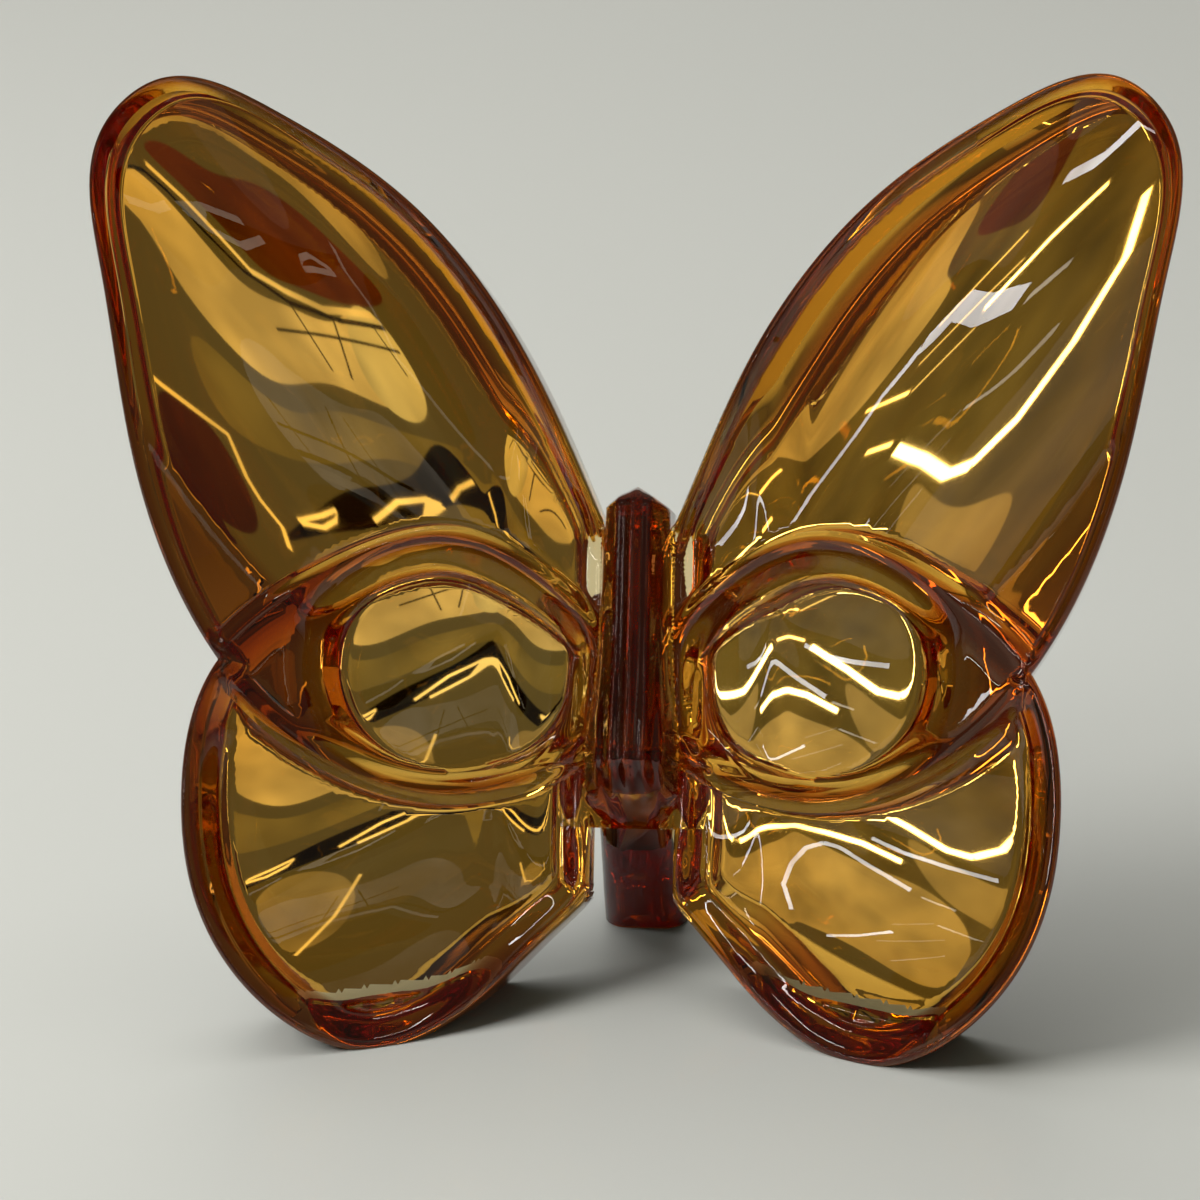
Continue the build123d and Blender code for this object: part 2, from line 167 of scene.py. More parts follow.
def hollow(x, v, centre, radii, tilt):
    """A spoon-shaped hollow, 1 deep in its middle."""
    turn = math.radians(tilt)
    dx, dv = x - centre[0], v - centre[1]
    along = dx * math.cos(turn) + dv * math.sin(turn)
    across = dv * math.cos(turn) - dx * math.sin(turn)
    return np.maximum(1 - (along / radii[0]) ** 2 - (across / radii[1]) ** 2, 0)


def front_height(p):
    """Height of the front: ridges along both ovals, dished cells between them, and the body."""
    x, v = np.abs(p[:, 0]), p[:, 1]
    q = np.column_stack([x, v])
    fore, hind = inside_depth(q, forewing_line), inside_depth(q, hindwing_line)
    crest = fold_slope * np.hypot(x, front_fold_radius) - root_dip * (1 - ease(x / root_dip_width))
    outward = ease((x - root_dip_width) / (forewing_reach - 2 * root_dip_width))
    wall = forewing_root_wall + (forewing_wall - forewing_root_wall) * outward
    in_fore = ease((fore - rim_width * (1 - ease(hind / rim_width))) / wall)
    in_hind = ease((hind - rim_width * (1 - ease(fore / rim_width))) / hindwing_wall)
    spoon = hollow(x, v, forewing_hollow_centre, forewing_hollow_radii, forewing_hollow_tilt)
    dish = (forewing_dish + forewing_hollow * spoon) * in_fore * ease(-hind / forewing_ridge_wall)
    from_bowl = np.hypot(x - middle_bowl_centre[0], v - middle_bowl_centre[1])
    bowl = 1 - ease((from_bowl - middle_bowl_radius) / middle_bowl_wall + 1 / 2)
    bowl += middle_bowl_curve * np.maximum(1 - (from_bowl / middle_bowl_radius) ** 2, 0)
    bowl = middle_notch_share + (1 - middle_notch_share) * bowl
    dish += middle_dish * bowl * ease(fore / middle_floor_wall) * ease(hind / middle_ridge_wall)
    spoon = hollow(x, v, hindwing_hollow_centre, hindwing_hollow_radii, hindwing_hollow_tilt)
    dish += (hindwing_dish + hindwing_hollow * spoon) * in_hind * ease(-fore / hindwing_ridge_wall)
    height = crest - front_drop - dish * ease((x - root_reach) / root_wall)
    swell = np.exp(-(((v - belly_level) / (belly_level - belly_bottom)) ** 2))
    half_width = (thorax_width + (belly_width - thorax_width) * swell) / 2
    tall = thorax_height + (belly_height - thorax_height) * swell
    rise = ease((v - belly_bottom) / (belly_level - belly_bottom))
    rounding = ease((head_top - v) / head_rounding + 1 / 2)
    flank = np.maximum(1 - (x / half_width) ** 2, 0) ** flank_power
    height += flank * (tall * rise * rounding - belly_fall * (1 - rise))
    fluted = flute_depth * rise * ease((half_width - x) / flute_pitch)
    height += fluted * np.cos(2 * math.pi * x / flute_pitch)
    bead_level = 2 * (v - (hip_top + hip_bottom) / 2) / (hip_top - hip_bottom)
    bead_place = 2 * (x - half_body + hip_width / 2) / hip_width
    height += hip_height * np.exp(-(bead_level**4) - bead_place**2)
    tab_along, tab_across = 2 * (v - tab_level) / tab_length, 2 * (x - tab_reach) / tab_width
    return height + tab_height * np.exp(-(tab_along**4) - tab_across**4)


def back_height(x):
    """Height of the plain folded back."""
    x = np.abs(x)
    arc = back_fold_radius / math.cos(sweep) - np.sqrt(np.maximum(back_fold_radius**2 - x**2, 0))
    return np.where(x < back_fold_radius * math.sin(sweep), arc, fold_slope * x) - wing_thickness


def leaning(x, v, n):
    """Points of the leaning frame, in metres in the part's frame."""
    y = -frame_setback + v * math.sin(lean) - n * math.cos(lean)
    z = v * math.cos(lean) + n * math.sin(lean)
    return np.column_stack([x, y, z]) * mm


def offset_ring(line, depth):
    """An oval's points moved inwards."""
    ahead, behind = np.roll(line, -1, 0), np.roll(line, 1, 0)
    along = ahead - behind
    along /= np.linalg.norm(along, axis=1)[:, None]
    area = (line[:, 0] * ahead[:, 1] - ahead[:, 0] * line[:, 1]).sum()
    return line + np.column_stack([-along[:, 1], along[:, 0]]) * np.sign(area) * depth


# Its right half is one flat mesh, close-meshed along the outline and in the body, lifted to front and back.
# Rows of points follow the rim, a few degrees apart on its rounding and then in mesh steps inside it.
body_reach = half_body + hip_width / 2
outline_tolerance = 0.02
rim_turn, inner_rows, field_row, seam_row = 14, (0.7, 1.5), 1.9, 0.3
ring_depths = [rim_radius * (1 - math.cos(math.radians(turn))) for turn in range(rim_turn, 90, rim_turn)]
ring_depths += [rim_radius + row * mesh_step for row in inner_rows]
points, edges = [], []
for line in (forewing_line, hindwing_line):
    first = len(points)
    points += [tuple(p) for p in line]
    edges += [(first + i, first + (i + 1) % len(line)) for i in range(len(line))]
first = len(points)
for (x0, v0), (x1, v1) in zip(half_outline, half_outline[1:] + half_outline[:1]):
    steps = max(1, round(math.hypot(x1 - x0, v1 - v0) / mesh_step))
    points += [(x0 + (x1 - x0) * i / steps, v0 + (v1 - v0) * i / steps) for i in range(steps)]
edges += [(i, i + 1 if i + 1 < len(points) else first) for i in range(first, len(points))]
for line in (forewing_line, hindwing_line):
    for depth in ring_depths:
        ring = offset_ring(line, depth)
        ring = ring[ring[:, 0] > seam_row * mesh_step]
        points += [tuple(p) for p in ring[np.abs(edge_depth(ring) - depth) < outline_tolerance]]

# The ridges inside the wings get rows of points along them, so that they stay smooth.
ridge_depths = [-1.2, -0.9, -0.6, -0.3, 0.3, 0.6, 0.9, 1.2]
ridge_reach = 1.4
for line, other in ((forewing_line, hindwing_line), (hindwing_line, forewing_line)):
    for depth in ridge_depths:
        ring = offset_ring(line, depth)
        clear = (inside_depth(ring, other) > ridge_reach) & (edge_depth(ring) > ridge_reach)
        clear &= np.abs(inside_depth(ring, line) - depth) < outline_tolerance
        points += [tuple(p) for p in ring[clear & (ring[:, 0] > body_reach)]]


def hexagonal(low_x, high_x, low_v, high_v, step):
    """A grid of points in staggered rows."""
    row_step = step * math.sqrt(3) / 2
    return np.array([
        (low_x + (i + 0.5 * (j % 2) + 0.5) * step, low_v + j * row_step)
        for j in range(int((high_v - low_v) / row_step))
        for i in range(int((high_x - low_x) / step))
    ])


wings = hexagonal(0, forewing_reach, hindwing_base, forewing_top, mesh_step)
in_body = (wings[:, 0] < body_reach) & (wings[:, 1] < head_top)
wings = wings[~in_body & (edge_depth(wings) > rim_radius + field_row * mesh_step)]
for line, other in ((forewing_line, hindwing_line), (hindwing_line, forewing_line)):
    off_ridge = np.abs(inside_depth(wings, line)) > ridge_reach
    wings = wings[off_ridge | (inside_depth(wings, other) < ridge_reach)]
core = hexagonal(0, body_reach, hip_bottom, head_top, mesh_step / 2)
core = core[edge_depth(core) > mesh_step / 2]
points += [tuple(p) for p in np.concatenate([wings, core])]
places = [Vector((float(x), float(v))) for x, v in points]
joining_gap = 1e-5
flat, _, triangles, _, _, _ = delaunay_2d_cdt(places, edges, [], 0, joining_gap)
flat = np.array([tuple(p) for p in flat])
triangles = np.array([t for t in triangles if len(t) == 3])
middles = flat[triangles].mean(1)
in_notch = (middles[:, 0] < half_foot) & (middles[:, 1] < belly_bottom)
triangles = triangles[(edge_depth(middles) > 0) & (middles[:, 0] > 0) & ~in_notch]
used, triangles = np.unique(triangles, return_inverse=True)
flat, triangles = flat[used], triangles.reshape(-1, 3)
a, b, c = (flat[triangles[:, k]] for k in range(3))
turned = (b[:, 0] - a[:, 0]) * (c[:, 1] - a[:, 1]) < (c[:, 0] - a[:, 0]) * (b[:, 1] - a[:, 1])
triangles[turned] = triangles[turned][:, ::-1]
sides = np.concatenate([triangles[:, [0, 1]], triangles[:, [1, 2]], triangles[:, [2, 0]]])
_, index, uses = np.unique(np.sort(sides, 1), axis=0, return_index=True, return_counts=True)
rim = sides[index[uses == 1]]
rim = rim[(flat[rim][:, :, 0] > outline_tolerance).any(1)]
depth = np.maximum(edge_depth(flat), 0)


def rounded(radius):
    """Fall of a rounded edge."""
    return radius - np.sqrt(radius**2 - np.clip(radius - depth, 0, radius) ** 2)


least_wall = 0.4
back = back_height(flat[:, 0]) + rounded(back_rim_radius)
front = np.maximum(front_height(flat) - rounded(rim_radius), back + least_wall)
wall_levels = 4
count = len(flat)
levels = [front + (back - front) * k / wall_levels for k in range(wall_levels + 1)]
sheets = [leaning(flat[:, 0], flat[:, 1], level) for level in levels]
faces = [tuple(t) for t in triangles] + [tuple(t[::-1] + wall_levels * count) for t in triangles]
for k in range(0, wall_levels * count, count):
    faces += [(i + k, i + k + count, j + k + count, j + k) for i, j in rim]
half_count = (wall_levels + 1) * count
faces += [tuple(half_count + i for i in reversed(face)) for face in faces]
verts = np.concatenate(sheets + [sheet * (-1, 1, 1) for sheet in sheets])


welding_gap = 0.0001


def solid_object(name, verts, faces):
    """An object with a closed mesh, its stray and doubled points removed."""
    mesh = bpy.data.meshes.new(name)
    mesh.from_pydata([tuple(map(float, v)) for v in verts], [], [[int(i) for i in f] for f in faces])
    bm = bmesh.new()
    bm.from_mesh(mesh)
    bmesh.ops.delete(bm, geom=[v for v in bm.verts if not v.link_faces], context="VERTS")
    bmesh.ops.remove_doubles(bm, verts=bm.verts[:], dist=welding_gap * mm)
    bm.to_mesh(mesh)
    bm.free()
    made = bpy.data.objects.new(name, mesh)
    scene.collection.objects.link(made)
    return made


casting = solid_object("casting", verts, faces)

# Its tail foot runs from the body's back and lower end down to the floor, in rounded sections.
foot_depth, foot_setback, foot_top_level, foot_corner_radius = 7.2, 11.6, 17.5, 1.7
foot_bury, foot_taper, foot_tint_thickness = 0.8, 0.12, 5.8
corner_share, section_turn, foot_overrun, throat_step = 0.45, 15, 1.0, 0.1
toe_y = foot_setback - frame_setback
heel_y = toe_y + foot_depth
throat_n = fold_slope * front_fold_radius - root_dip - belly_fall
_, throat_y, throat_z = leaning(0, belly_bottom, throat_n)[0] / mm
_, peak_y, peak_z = leaning(0, foot_top_level, -wing_thickness)[0] / mm
_, buried_y, buried_z = leaning(0, belly_bottom, throat_n - foot_bury)[0] / mm


def foot_section(z):
    """One section of the foot: a rectangle with rounded corners."""
    front_y = toe_y + (throat_y - toe_y) * z / throat_z
    if z > throat_z:
        front_y = buried_y + (z - buried_z) * math.tan(lean)
    back_y = heel_y + (peak_y - heel_y) * z / peak_z
    half_width = half_foot * (1 - foot_taper * min(max(z / throat_z, 0), 1))
    radius = min(foot_corner_radius, corner_share * (back_y - front_y))
    section = []
    for turn in range(0, 360, section_turn):
        angle = math.radians(turn + section_turn / 2)
        corner_x = math.copysign(half_width - radius, math.cos(angle))
        corner_y = back_y - radius if math.sin(angle) > 0 else front_y + radius
        section.append((corner_x + radius * math.cos(angle), corner_y + radius * math.sin(angle), z))
    return section


foot_levels = [-foot_overrun, 0.25 * throat_z, 0.5 * throat_z, 0.75 * throat_z, throat_z]
foot_levels += [throat_z + throat_step, peak_z]
foot_verts = np.array([p for z in foot_levels for p in foot_section(z)]) * mm
round_count = 360 // section_turn
top_start = round_count * (len(foot_levels) - 1)
foot_faces = [tuple(reversed(range(round_count)))]
for low in range(0, top_start, round_count):
    high = low + round_count
    for i in range(round_count):
        after = (i + 1) % round_count
        foot_faces.append((low + i, low + after, high + after, high + i))
foot_faces.append(tuple(range(top_start, top_start + round_count)))
foot = solid_object("foot", foot_verts, foot_faces)

# The flats that it stands on are ground away below the floor.
ground_reach, ground_depth = 60.0, 20.0
corners = [(x, y, z) for z in (-ground_depth, 0) for y in (-1, 1) for x in (-1, 1)]
ground_verts = np.array([(x * ground_reach, y * ground_reach, z) for x, y, z in corners]) * mm
ground_faces = [(0, 2, 3, 1), (4, 5, 7, 6), (0, 1, 5, 4), (2, 6, 7, 3), (0, 4, 6, 2), (1, 3, 7, 5)]
ground = solid_object("ground", ground_verts, ground_faces)
for tool, operation in ((foot, "UNION"), (ground, "DIFFERENCE")):
    cut = casting.modifiers.new(tool.name, "BOOLEAN")
    cut.object = tool
    cut.operation = operation
    cut.solver = "EXACT"
evaluated = casting.evaluated_get(bpy.context.evaluated_depsgraph_get())
crystal = bpy.data.objects.new("crystal", bpy.data.meshes.new_from_object(evaluated))
scene.collection.objects.link(crystal)
for helper in (casting, foot, ground):
    bpy.data.objects.remove(helper)
sharp_angle = math.radians(40)
crystal.data.shade_smooth()
crystal.data.set_sharp_from_angle(angle=sharp_angle)
lean_out = np.array([0, -math.cos(lean), math.sin(lean)])
lean_up = np.array([0, math.sin(lean), math.cos(lean)])


def leaning_places(items, name):
    """Where a mesh's points or faces lie in the leaning frame, in millimetres."""
    places = np.empty(3 * len(items))
    items.foreach_get(name, places)
    places = places.reshape(-1, 3) / mm + (0, frame_setback, 0)
    return places[:, 0], places @ lean_up, places @ lean_out


clear_thickness, deep_thickness = 4.9, 6.0
across, along, height = leaning_places(crystal.data.vertices, "co")
thickness_and_painted_streaks = front_height(np.column_stack([across, along])) - back_height(across)
in_foot = (np.abs(across) < half_foot) & (along < belly_bottom)
in_foot |= height < back_height(across) - outline_tolerance
thickness_and_painted_streaks[in_foot] = foot_tint_thickness

# Painted highlight: along the belly's flutes the amber tint is made lighter in stripes, so the depth shows
# less there and paints bright streaks of light on the belly.
painted_streak_depth, painted_streak_reach = 1.5, 2.2
painted_streak_stripes = np.maximum(np.cos(2 * math.pi * across / flute_pitch), 0) ** 2
painted_streak_band = np.exp(-(((along - belly_level) / painted_streak_reach) ** 2)) * (np.abs(across) < thorax_width / 2)
# The glass's thickness, less the painted highlight stripes on the belly.
thickness_and_painted_streaks = np.minimum(thickness_and_painted_streaks, deep_thickness) - painted_streak_depth * painted_streak_stripes * painted_streak_band
crystal.data.attributes.new("thickness_and_painted_streaks", "FLOAT", "POINT").data.foreach_set("value", thickness_and_painted_streaks)


def linear(hex_colour):
    """An sRGB hex colour as linear red, green, blue and alpha."""
    parts = [int(hex_colour[i:i + 2], 16) / 255 for i in (1, 3, 5)]
    return [c / 12.92 if c <= 0.04045 else ((c + 0.055) / 1.055) ** 2.4 for c in parts] + [1.0]


def add_node(tree, kind, values=None, **settings):
    """Add a node, with its own settings, and set or link its inputs."""
    node = tree.nodes.new(kind)
    for name, value in settings.items():
        setattr(node, name, value)
    for name, value in (values or {}).items():
        if isinstance(value, bpy.types.NodeSocket):
            tree.links.new(value, node.inputs[name])
        else:
            node.inputs[name].default_value = value
    return node


def new_material(name):
    """A material, its node tree and its shader."""
    material = bpy.data.materials.new(name)
    material.use_nodes = True
    return material, material.node_tree, material.node_tree.nodes["Principled BSDF"]


# Fire polishing leaves pressed crystal bright but faintly wavy, and its depth shows amber.
wave_length, wave_height = 11.0, 0.1
deep_colour = "#7a3519"
amber_pass, amber_density = (0.953, 0.713, 0.0, 1.0), 210.0
crystal_material, tree, shader = new_material("fire_polished_crystal")
shader.inputs["Transmission Weight"].default_value = 1.0
shader.inputs["IOR"].default_value = 1.55
shader.inputs["Roughness"].default_value = 0.0
spot = add_node(tree, "ShaderNodeTexCoord")
waves = add_node(tree, "ShaderNodeTexNoise", {
    "Vector": spot.outputs["Object"], "Scale": 1 / (wave_length * mm), "Detail": 0.0,
})
polish = add_node(tree, "ShaderNodeBump", {
    "Height": waves.outputs[0], "Distance": wave_height * mm, "Strength": 1.0,
})
tree.links.new(polish.outputs["Normal"], shader.inputs["Normal"])
thick = add_node(tree, "ShaderNodeAttribute", attribute_name="thickness_and_painted_streaks")
excess = add_node(tree, "ShaderNodeMapRange", {
    "Value": thick.outputs["Fac"], "From Min": clear_thickness, "From Max": deep_thickness,
})
# Amber tint by the glass's thickness, lighter in the painted highlight stripes on the belly.
stain_and_painted_streaks = add_node(tree, "ShaderNodeGamma", {"Color": linear(deep_colour), "Gamma": excess.outputs["Result"]})
tree.links.new(stain_and_painted_streaks.outputs["Color"], shader.inputs["Base Color"])
amber = add_node(tree, "ShaderNodeVolumeAbsorption", {"Color": amber_pass, "Density": amber_density})
tree.links.new(amber.outputs["Volume"], tree.nodes["Material Output"].inputs["Volume"])
crystal.data.materials.append(crystal_material)
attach(crystal, "root")
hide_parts(*[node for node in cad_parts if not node.endswith("gilding")])

# Gilding
# A gold film fired on behind the wings, the body and the foot, half way up their sides.
# It lies just under the crystal's skin, so it mirrors all that the crystal lets through.
film_thickness, film_bite, film_floor_gap = 0.1, 0.12, 0.6
film_share, film_facing, film_weld = 0.5, 0.5, 0.001
bare_reach, bare_level, bare_width, bare_length = 3.0, 29.6, 1.2, 4.4
across, along, height = leaning_places(crystal.data.polygons, "center")
normals = np.empty(3 * len(crystal.data.polygons))
crystal.data.polygons.foreach_get("normal", normals)
above_floor = along * lean_up[2] + height * lean_out[2]
back_level = back_height(across)
film_level = back_level + film_share * (front_height(np.column_stack([across, along])) - back_level)
gilded = (height < film_level) & (above_floor > film_floor_gap)
gilded &= normals.reshape(-1, 3) @ lean_out < film_facing
gilded |= (np.abs(across) < half_foot) & (above_floor < outline_tolerance)
# Beside the thorax a small oval stays bare on each side and lets light through.
bare_across = 2 * (np.abs(across) - bare_reach) / bare_width
bare_along = 2 * (along - bare_level) / bare_length
gilded &= np.hypot(bare_across, bare_along) > 1
crystal.data.attributes.new("gilded", "BOOLEAN", "FACE").data.foreach_set("value", gilded)

# Fired gold behind polished crystal is a bright, warm mirror.
gold, tree, shader = new_material("fired_gold_film")
shader.inputs["Base Color"].default_value = linear("#f7e2a2")
shader.inputs["Metallic"].default_value = 1.0
shader.inputs["Roughness"].default_value = 0.02

film_tree = bpy.data.node_groups.new("gold_film", "GeometryNodeTree")
film_tree.interface.new_socket("Geometry", in_out="OUTPUT", socket_type="NodeSocketGeometry")
film_tree.interface.new_socket("Geometry", in_out="INPUT", socket_type="NodeSocketGeometry")
film_inputs = {}
for name, kind, value in (
    ("Bite", "NodeSocketFloat", -film_bite * mm),
    ("Thickness", "NodeSocketFloat", film_thickness * mm),
    ("Film", "NodeSocketMaterial", gold),
):
    film_inputs[film_tree.interface.new_socket(name, in_out="INPUT", socket_type=kind)] = value
given = add_node(film_tree, "NodeGroupInput")
mark = add_node(film_tree, "GeometryNodeInputNamedAttribute", {"Name": "gilded"}, data_type="BOOLEAN")
back_side = add_node(film_tree, "GeometryNodeSeparateGeometry", {
    "Geometry": given.outputs["Geometry"], "Selection": mark.outputs["Attribute"],
}, domain="FACE")
facing = add_node(film_tree, "GeometryNodeInputNormal")
inward = add_node(film_tree, "ShaderNodeVectorMath", {
    "Vector": facing.outputs["Normal"], "Scale": given.outputs["Bite"],
}, operation="SCALE")
sunk = add_node(film_tree, "GeometryNodeSetPosition", {
    "Geometry": back_side.outputs["Selection"], "Offset": inward.outputs["Vector"],
})
outer = add_node(film_tree, "GeometryNodeExtrudeMesh", {
    "Mesh": sunk.outputs["Geometry"], "Offset Scale": given.outputs["Thickness"], "Individual": False,
})
inner = add_node(film_tree, "GeometryNodeFlipFaces", {"Mesh": sunk.outputs["Geometry"]})
shell = add_node(film_tree, "GeometryNodeJoinGeometry")
film_tree.links.new(outer.outputs["Mesh"], shell.inputs["Geometry"])
film_tree.links.new(inner.outputs["Mesh"], shell.inputs["Geometry"])
closed = add_node(film_tree, "GeometryNodeMergeByDistance", {
    "Geometry": shell.outputs["Geometry"], "Distance": film_weld * mm,
})
real = add_node(film_tree, "GeometryNodeRealizeInstances", {"Geometry": closed.outputs["Geometry"]})
gilt = add_node(film_tree, "GeometryNodeSetMaterial", {
    "Geometry": real.outputs["Geometry"], "Material": given.outputs["Film"],
})
add_node(film_tree, "NodeGroupOutput", {"Geometry": gilt.outputs["Geometry"]})
film = crystal.modifiers.new("film", "NODES")
film.node_group = film_tree
for socket, value in film_inputs.items():
    film[socket.identifier] = value
evaluated = crystal.evaluated_get(bpy.context.evaluated_depsgraph_get())
gilding = bpy.data.objects.new("gilding", bpy.data.meshes.new_from_object(evaluated))
scene.collection.objects.link(gilding)
crystal.modifiers.remove(film)
gilding.data.materials.pop(index=0)
gilding.data.shade_smooth()
gilding.data.set_sharp_from_angle(angle=sharp_angle)
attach(gilding, "root")
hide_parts(*[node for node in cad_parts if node.endswith("gilding")])

# Floor
# A pale, faintly glossy table top that runs back out of sight.
floor_reach, floor_gap = 3.0, 0.02 * mm
floor_mesh = bpy.data.meshes.new("floor")
floor_corners = [(-1, -1), (1, -1), (1, 1), (-1, 1)]
floor_verts = [(x * floor_reach, y * floor_reach, -floor_gap) for x, y in floor_corners]
floor_mesh.from_pydata(floor_verts, [], [(0, 1, 2, 3)])
floor = bpy.data.objects.new("floor", floor_mesh)
scene.collection.objects.link(floor)
# Satin laminate is pale and mirrors softly.
floor_material, tree, shader = new_material("satin_laminate")
shader.inputs["Base Color"].default_value = linear("#c6c8c6")
shader.inputs["Roughness"].default_value = 0.3
floor_mesh.materials.append(floor_material)

# Light
# A large soft lamp to the left and a fill behind light the table.
# Cards stand for what a room shows to a mirror, placed by the directions in which the subject sees them.
subject_height = 30.0
subject = Vector((0, 0, subject_height * mm))
room_reach, layer_gap, card_points = 2.6, 0.15, 80
cloud_length, cloud_low, cloud_high, cloud_share = 0.35, 0.3, 0.7, 0.35
cream, tan, wood, dark = "#fff1d6", "#e8dca8", "#8a4a22", "#16120a"


def direction(azimuth, elevation):
    """The direction of a place in the room, seen from the subject."""
    around, up = math.radians(azimuth), math.radians(elevation)
    return Vector((math.sin(around) * math.cos(up), -math.cos(around) * math.cos(up), math.sin(up)))


def lamp(name, azimuth, elevation, distance, size, energy, colour):
    """A soft lamp, facing the subject, that mirrors don't show."""
    data = bpy.data.lights.new(name, "AREA")
    data.size, data.energy, data.color = size, energy, linear(colour)[:3]
    thing = bpy.data.objects.new(name, data)
    outward = direction(azimuth, elevation)
    facing = outward.to_track_quat("Z", "Y").to_matrix().to_4x4()
    thing.matrix_world = Matrix.Translation(subject + outward * distance) @ facing
    scene.collection.objects.link(thing)
    thing.visible_glossy = thing.visible_transmission = False


def card(name, corners, colour, strength, layer=0, smooth=True):
    """A glowing card, by the azimuths and elevations of its corners, that only mirrors and crystal show."""
    mesh = bpy.data.meshes.new(name)
    line = closed_spline(corners, card_points) if smooth else corners
    places = [subject + direction(*corner) * (room_reach - layer * layer_gap) for corner in line]
    mesh.from_pydata(places, [], [tuple(range(len(places)))])
    material = bpy.data.materials.new(name)
    material.use_nodes = True
    tree = material.node_tree
    tree.nodes.clear()
    spot = add_node(tree, "ShaderNodeTexCoord")
    cloud = add_node(tree, "ShaderNodeTexNoise", {
        "Vector": spot.outputs["Object"], "Scale": 1 / cloud_length, "Detail": 2.0,
    })
    shade = add_node(tree, "ShaderNodeMapRange", {
        "Value": cloud.outputs[0], "From Min": cloud_low, "From Max": cloud_high,
        "To Min": strength * (1 - cloud_share), "To Max": strength * (1 + cloud_share),
    })
    glow = add_node(tree, "ShaderNodeEmission", {
        "Color": linear(colour), "Strength": shade.outputs["Result"],
    })
    add_node(tree, "ShaderNodeOutputMaterial", {"Surface": glow.outputs[0]})
    mesh.materials.append(material)
    thing = bpy.data.objects.new(name, mesh)
    scene.collection.objects.link(thing)
    thing.visible_camera = thing.visible_diffuse = thing.visible_shadow = False


def strip(name, line, width, colour, strength):
    """A narrow card along a line of directions."""
    p = np.array(line, float)
    squeeze = math.cos(math.radians(p[:, 1].mean()))
    along = np.gradient(p * (squeeze, 1), axis=0)
    along /= np.linalg.norm(along, axis=1)[:, None]
    side = np.column_stack([-along[:, 1] / squeeze, along[:, 0]]) * width / 2
    corners = np.concatenate([p - side, (p + side)[::-1]]).tolist()
    card(name, corners, colour, strength, layer=3, smooth=False)


# To the right of the subject: panels, shelves and their edges.
card("wall_panel", [
    (12.4, 42.7), (14.1, 43.2), (16.4, 42.7), (19.3, 40.7), (22.2, 38.5), (27.4, 38.2), (36, 38.7),
    (45.8, 39.2), (46.8, 37.1), (40.5, 33.8), (35.7, 33.5), (28.6, 33.5), (22.9, 32.2), (18.3, 31.6),
    (15.3, 32.9), (13, 35.3), (12.2, 37.7), (11.2, 39.2), (8.9, 39.7),
], cream, 0.76)
card("cabinet", [
    (18.1, 45.7), (19.3, 46.5), (27.9, 46.9), (36.5, 47.7), (45.2, 46.7), (49.8, 44.7), (52.6, 42.7),
    (46.9, 41), (36, 40.3), (31.4, 40.2), (26.8, 40.7), (25.1, 42), (22.2, 43.7), (19.3, 45),
], wood, 0.36, layer=1)
card("lintel", [
    (12.4, 48.7), (28.5, 50.7), (42.3, 50.2), (51.5, 47.7), (57.2, 43.7), (65.3, 47.7), (58.4, 59.7),
    (28.5, 63.7), (7.8, 57.7),
], cream, 0.4)
card("pane", [(37.1, 37.9), (47.5, 38.9), (47.4, 36.7), (35.6, 34.8)], "#e8e4d4", 0.75, layer=2)
card("rug", [
    (11, 31.6), (16.8, 30.1), (24.8, 31), (37.9, 32), (47.4, 31.4), (43.6, 30.2), (32.8, 29.6), (18, 26.2),
    (14, 25.7), (10, 26.5),
], tan, 0.22)
card("shelf", [
    (10.5, 19), (16, 22.5), (23.5, 26), (35.9, 29.6), (46.2, 30.4), (47, 28.4), (43, 27.8), (33.5, 26.3),
    (21.5, 23), (14, 20.4),
], dark, 0.05, layer=1)
card("stool", [(3, 25.2), (8, 24.8), (8.8, 23), (7.5, 18.5), (2, 18.5)], wood, 0.2, layer=1)
card("door", [(41, 30.4), (47.3, 30.4), (50, 26), (49, 8), (42, 8), (40, 20)], tan, 0.26)
card("crate", [(16, 19.5), (21, 21.5), (24.5, 19.5), (23.5, 12), (18, 10)], cream, 0.28)
strip("sill_a", [
    (16.8, 44.5), (20.4, 43.1), (23.4, 41.2), (25.3, 39.8), (29.6, 39.5), (35.4, 39.4), (45.8, 40.4),
], 0.5, cream, 0.9)
strip("sill_b", [
    (11.2, 42.9), (15.8, 43.7), (18.1, 43), (20.7, 41.2), (23.9, 39.5), (29.1, 38.7), (37.1, 39),
    (46.9, 39.7),
], 0.35, dark, 0.04)
strip("beam_a", [(29.1, 38.7), (30.1, 34.7)], 0.22, dark, 0.04)
strip("beam_b", [(36, 39), (32.8, 34.7)], 0.22, dark, 0.04)
strip("beam_c", [(24.3, 36), (46.9, 38.2)], 0.22, dark, 0.04)
strip("beam_d", [(44, 39.7), (45.1, 36.5)], 0.22, dark, 0.04)
strip("edge_a", [
    (2, 26.3), (7, 25.6), (9.6, 25.2), (9.4, 22.5), (9.8, 21.3), (11, 20), (10.6, 18.5),
], 0.45, cream, 1.2)
strip("edge_b", [
    (13.5, 21.3), (17, 22.7), (19.3, 23.7), (18.5, 22.8), (16.5, 21.8), (13.7, 21.2),
], 0.3, cream, 1.5)
strip("edge_c", [
    (24, 24.2), (29, 26.4), (34.5, 27.5), (37, 27.4), (32, 25.8), (26, 24.2),
], 0.35, cream, 1.7)
strip("edge_d", [(39, 28), (42, 29), (46.2, 29.7)], 0.35, cream, 1.2)
strip("edge_e", [(19, 9), (23, 14), (26, 19.5)], 0.4, cream, 1.1)
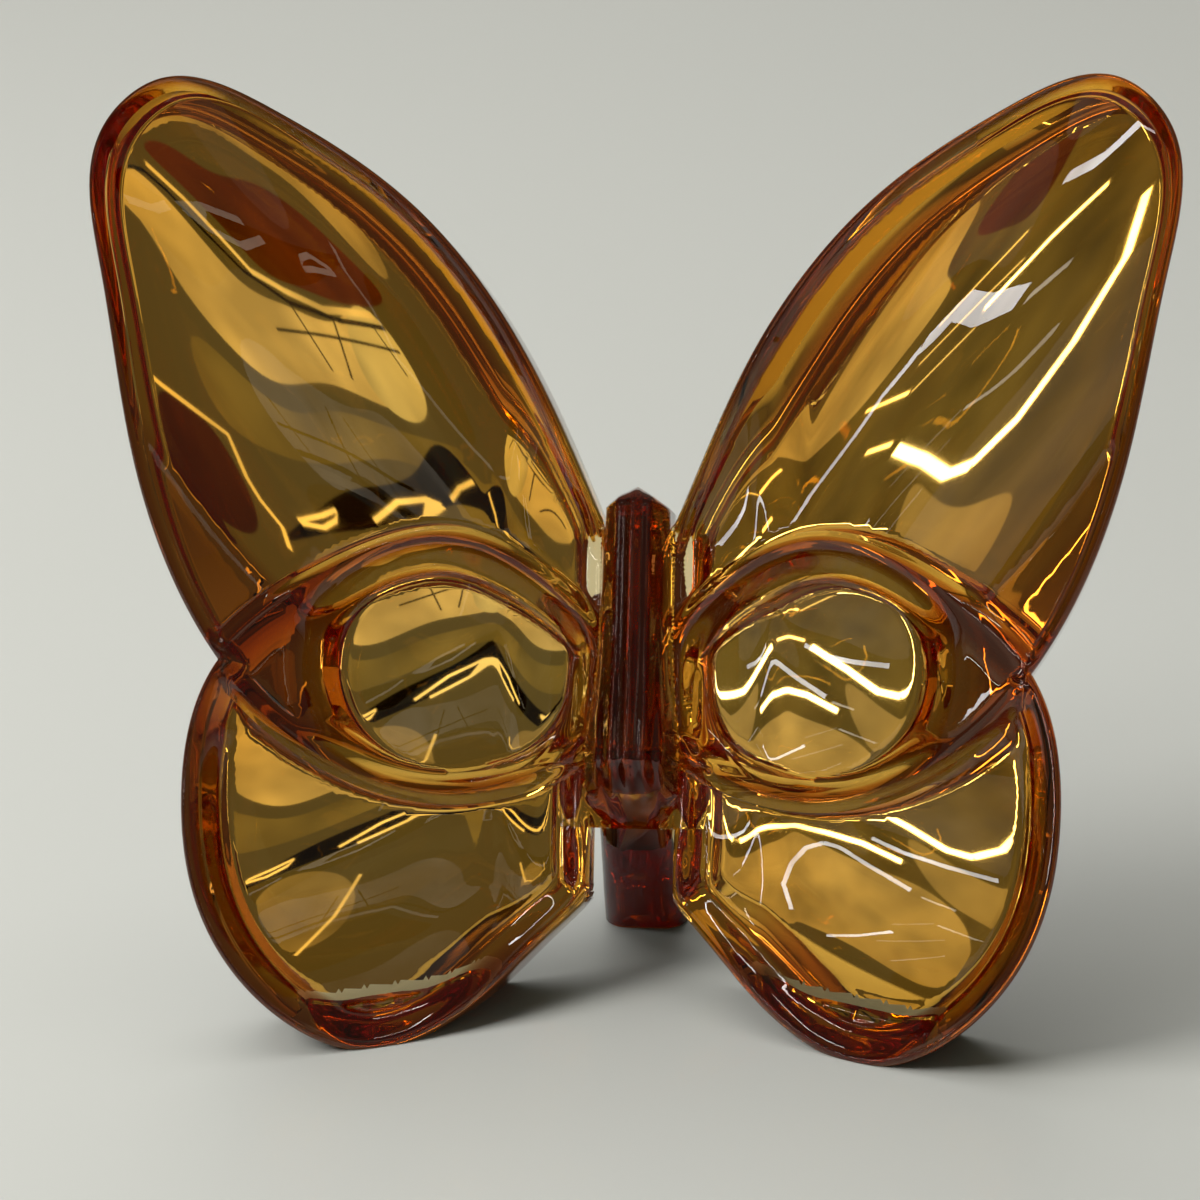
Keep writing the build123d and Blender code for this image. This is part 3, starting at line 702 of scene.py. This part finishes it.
# To its left: a wall, bright tubes and slats.
card("left_wall", [
    (-80, 10), (-50, 8), (-22, 10), (-18, 26), (-22, 42), (-50, 46), (-80, 44),
], tan, 0.17, layer=-5)
card("window_wall", [
    (-64.7, 38.2), (-59.2, 36.5), (-59.9, 32.9), (-62.4, 29.2), (-66.5, 26.5), (-76, 24), (-83.7, 37.7),
    (-69.9, 41.7),
], cream, 0.55, layer=1)
card("curtain", [
    (-66.5, 42.7), (-56.1, 40.7), (-50.9, 41.7), (-53.8, 46.7), (-65.3, 48.7),
], wood, 0.3, layer=1)
card("table", [(-40, 23.5), (-30, 21), (-24, 20), (-24, 15), (-30, 15), (-36, 18)], cream, 0.34, layer=1)
card("counter", [
    (-60, 2), (-44, 3), (-34, 2), (-32, 14), (-36, 17), (-46, 17.5), (-60, 15),
], cream, 0.5, layer=1)
strip("tube_a", [(-47.2, 35.3), (-42.9, 39.1), (-38.3, 41.7)], 0.4, "#ffffff", 11.0)
strip("tube_b", [
    (-30.2, 39.7), (-27.3, 35.3), (-27.8, 30.4), (-29.7, 26.2), (-32.5, 24.1),
], 0.8, "#ffffff", 11.0)
strip("tube_c", [(-32.5, 24), (-35.5, 23.9), (-40.5, 25.4), (-47, 26.6)], 0.8, "#ffffff", 11.0)
strip("tube_d", [(-56, 18.3), (-50, 19.8), (-45, 20.5), (-40, 20)], 0.7, "#ffffff", 11.0)
strip("slat_a", [(-55.4, 34.7), (-49.2, 40.2)], 0.22, cream, 2.0)
strip("slat_b", [(-53.9, 32.2), (-45.8, 38.2)], 0.18, cream, 1.6)
strip("slat_c", [(-51.4, 30.4), (-46.6, 34.1)], 0.18, cream, 1.6)
strip("slat_d", [(-53, 26.5), (-48.5, 27)], 0.35, cream, 6.0)
strip("slat_e", [(-59.9, 29.2), (-51.9, 30.4)], 0.3, cream, 5.0)
strip("ceiling", [(-80, 74), (-20, 80), (60, 76)], 1.5, "#ffffff", 12.0)
world = bpy.data.worlds.new("room")
scene.world = world
world.use_nodes = True
world.node_tree.nodes["Background"].inputs["Color"].default_value = linear("#6d6a5c")
world.node_tree.nodes["Background"].inputs["Strength"].default_value = 0.7
lamp("key", -76, 38, 0.5, 0.24, 2.1, "#fffdf6")
lamp("fill", -150, 58, 0.9, 1.0, 8.2, "#fdfcf8")

# Camera
# The photograph's view, from a little to the right of the middle and above, rolled and shifted.
azimuth, elevation, roll = 7.343, 21.492, math.radians(-1.955)
target_depth, target_height, target_distance = 11.8, 30.0, 222.53
frame_pixels, focal_pixels, middle_x, middle_y = 1200, 3422.5, 630.84, 517.89
target = Vector((0, target_depth - frame_setback, target_height)) * mm
outward = direction(azimuth, elevation)
right = Vector((math.cos(math.radians(azimuth)), math.sin(math.radians(azimuth)), 0))
up = outward.cross(right)
rolled_right = right * math.cos(roll) + up * math.sin(roll)
rolled_up = up * math.cos(roll) - right * math.sin(roll)
camera_data = bpy.data.cameras.new("camera")
camera_data.sensor_width = 36.0
camera_data.lens = camera_data.sensor_width * focal_pixels / frame_pixels
camera_data.shift_x = (frame_pixels / 2 - middle_x) / frame_pixels
camera_data.shift_y = (middle_y - frame_pixels / 2) / frame_pixels
camera_data.clip_start = 0.01
camera = bpy.data.objects.new("camera", camera_data)
axes = Matrix((rolled_right, rolled_up, outward)).transposed().to_4x4()
camera.matrix_world = Matrix.Translation(target + outward * target_distance * mm) @ axes
scene.collection.objects.link(camera)
scene.camera = camera

scene.view_settings.view_transform = "Standard"
scene.cycles.max_bounces = 24
scene.cycles.transmission_bounces = 24
scene.cycles.glossy_bounces = 24
scene.cycles.caustics_reflective = False
scene.cycles.caustics_refractive = False
